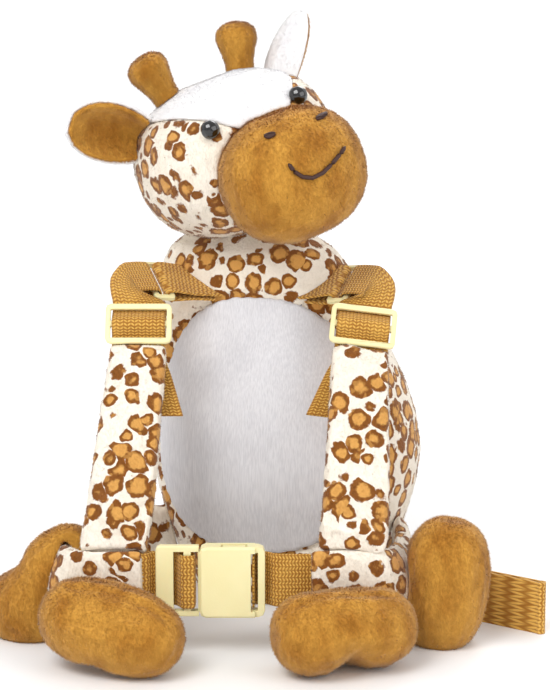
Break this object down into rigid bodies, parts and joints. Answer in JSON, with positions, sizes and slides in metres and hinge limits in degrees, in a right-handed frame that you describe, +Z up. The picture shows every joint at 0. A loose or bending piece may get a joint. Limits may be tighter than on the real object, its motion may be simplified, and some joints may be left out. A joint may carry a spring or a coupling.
{
  "type": "toddler harness backpack",
  "caption": "Sitting plush giraffe worn as a small child's backpack, with padded shoulder sleeves, a buckled waist belt, a back pocket and a tether loop.",
  "frame": {"origin": "middle of the overall box, at the height of the surface that it sits on", "axes": "+Z up, -Y towards the side where the belt's buckle is, +X to the viewer's right from there"},
  "size_m": [0.2626, 0.2228, 0.2902],
  "materials": {
    "spotted_plush": "short pile, cream with brown spots",
    "brown_plush": "short pile, golden brown",
    "white_plush": "short pile, white",
    "grey_cloth": "smooth brushed cloth, pale grey",
    "webbing": "ribbed golden webbing",
    "cream_plastic": "satin",
    "eye_black": "gloss"
  },
  "bodies": {
    "root": {"body": "spotted_plush", "belly_panel": "grey_cloth", "pocket_panel": "spotted_plush", "pocket_zip": "webbing", "head": "spotted_plush", "crown_panel": "white_plush", "muzzle": "brown_plush", "eye_left": "eye_black", "eye_right": "eye_black", "ear_left_back": "white_plush", "ear_left_inner": "brown_plush", "ear_right_back": "white_plush", "ear_right_inner": "brown_plush", "ossicone_left": "brown_plush", "ossicone_right": "brown_plush", "arm_left": "spotted_plush", "arm_right": "spotted_plush", "slider_left": "cream_plastic", "slider_right": "cream_plastic", "ring_left": "cream_plastic", "ring_right": "cream_plastic", "ring_tab_left": "webbing", "ring_tab_right": "webbing", "strap_left": "webbing", "strap_right": "webbing", "belt_sleeve_left": "spotted_plush", "belt_sleeve_right": "spotted_plush", "belt_webbing_left": "webbing", "belt_webbing_right": "webbing", "buckle_male": "cream_plastic", "buckle_female": "cream_plastic", "hoof_front_left": "brown_plush", "hoof_front_right": "brown_plush", "hoof_side_left": "brown_plush", "hoof_side_right": "brown_plush", "tether": "webbing"}
  },
  "joints": []
}
